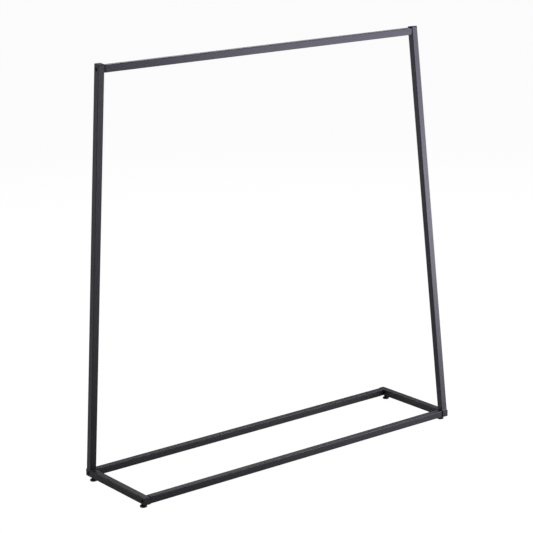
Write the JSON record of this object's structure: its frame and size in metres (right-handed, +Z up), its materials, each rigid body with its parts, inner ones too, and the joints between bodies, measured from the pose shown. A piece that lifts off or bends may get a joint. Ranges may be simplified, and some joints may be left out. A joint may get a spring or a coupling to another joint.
{
  "type": "single-rail clothes rack",
  "caption": "Clothes rack in black square tube: a rectangular base, two uprights leaning in from opposite corners, one level hanging bar and levelling feet.",
  "frame": {"origin": "on the floor, under the middle of the base", "axes": "+X along the hanging bar towards the side whose upright stands at the front; +Y from front to back; +Z up"},
  "size_m": [1.4066, 0.375, 1.5003],
  "materials": {
    "powder_coated_steel": "satin black powder coat with a fine orange-peel texture",
    "black_polyethylene": "matt moulded end caps",
    "black_nylon": "matt moulded foot pads",
    "black_zinc_steel": "black zinc plate, low gloss",
    "bright_zinc_steel": "bright zinc plate"
  },
  "bodies": {
    "frame": {"left_side_rail": "powder_coated_steel", "left_upright": "powder_coated_steel", "left_upright_inner_weld": "powder_coated_steel", "left_upright_outer_weld": "powder_coated_steel", "right_side_rail": "powder_coated_steel", "right_upright": "powder_coated_steel", "right_upright_inner_weld": "powder_coated_steel", "right_upright_outer_weld": "powder_coated_steel", "front_rail": "powder_coated_steel", "rear_rail": "powder_coated_steel", "top_bar": "powder_coated_steel", "front_rail_left_bolt": "black_zinc_steel", "front_rail_left_threaded_plug": "bright_zinc_steel", "front_rail_right_bolt": "black_zinc_steel", "front_rail_right_threaded_plug": "bright_zinc_steel", "rear_rail_left_bolt": "black_zinc_steel", "rear_rail_left_threaded_plug": "bright_zinc_steel", "rear_rail_right_bolt": "black_zinc_steel", "rear_rail_right_threaded_plug": "bright_zinc_steel", "top_bar_left_bolt": "black_zinc_steel", "top_bar_left_threaded_plug": "bright_zinc_steel", "top_bar_right_bolt": "black_zinc_steel", "top_bar_right_threaded_plug": "bright_zinc_steel", "front_left_end_cap": "black_polyethylene", "front_right_end_cap": "black_polyethylene", "rear_left_end_cap": "black_polyethylene", "rear_right_end_cap": "black_polyethylene", "left_upright_top_cap": "black_polyethylene", "right_upright_top_cap": "black_polyethylene", "front_left_rivet_nut": "black_zinc_steel", "front_right_rivet_nut": "black_zinc_steel", "rear_left_rivet_nut": "black_zinc_steel", "rear_right_rivet_nut": "black_zinc_steel"},
    "front_left_foot_pad": {"front_left_foot_pad": "black_nylon"},
    "front_left_foot_stud": {"front_left_foot_stud": "black_zinc_steel"},
    "front_right_foot_pad": {"front_right_foot_pad": "black_nylon"},
    "front_right_foot_stud": {"front_right_foot_stud": "black_zinc_steel"},
    "rear_left_foot_pad": {"rear_left_foot_pad": "black_nylon"},
    "rear_left_foot_stud": {"rear_left_foot_stud": "black_zinc_steel"},
    "rear_right_foot_pad": {"rear_right_foot_pad": "black_nylon"},
    "rear_right_foot_stud": {"rear_right_foot_stud": "black_zinc_steel"}
  },
  "joints": [
    {"name": "front_left_foot_height", "type": "slide", "parent": "frame", "child": "front_left_foot_pad", "axis": [0, 0, -1], "range_m": [0, 0.012]},
    {"name": "front_left_foot_turn", "type": "hinge", "parent": "front_left_foot_pad", "child": "front_left_foot_stud", "pos_m": [-0.6875, -0.159, 0.01], "axis": [0, 0, -1], "range_deg": [0, 3456]},
    {"name": "front_right_foot_height", "type": "slide", "parent": "frame", "child": "front_right_foot_pad", "axis": [0, 0, -1], "range_m": [0, 0.012]},
    {"name": "front_right_foot_turn", "type": "hinge", "parent": "front_right_foot_pad", "child": "front_right_foot_stud", "pos_m": [0.6875, -0.159, 0.01], "axis": [0, 0, -1], "range_deg": [0, 3456]},
    {"name": "rear_left_foot_height", "type": "slide", "parent": "frame", "child": "rear_left_foot_pad", "axis": [0, 0, -1], "range_m": [0, 0.012]},
    {"name": "rear_left_foot_turn", "type": "hinge", "parent": "rear_left_foot_pad", "child": "rear_left_foot_stud", "pos_m": [-0.6875, 0.159, 0.01], "axis": [0, 0, -1], "range_deg": [0, 3456]},
    {"name": "rear_right_foot_height", "type": "slide", "parent": "frame", "child": "rear_right_foot_pad", "axis": [0, 0, -1], "range_m": [0, 0.012]},
    {"name": "rear_right_foot_turn", "type": "hinge", "parent": "rear_right_foot_pad", "child": "rear_right_foot_stud", "pos_m": [0.6875, 0.159, 0.01], "axis": [0, 0, -1], "range_deg": [0, 3456]}
  ],
  "couplings": [
    {"joint": "front_left_foot_height", "follows": "front_left_foot_turn", "m_per_rad": 0.00019894},
    {"joint": "front_right_foot_height", "follows": "front_right_foot_turn", "m_per_rad": 0.00019894},
    {"joint": "rear_left_foot_height", "follows": "rear_left_foot_turn", "m_per_rad": 0.00019894},
    {"joint": "rear_right_foot_height", "follows": "rear_right_foot_turn", "m_per_rad": 0.00019894}
  ]
}
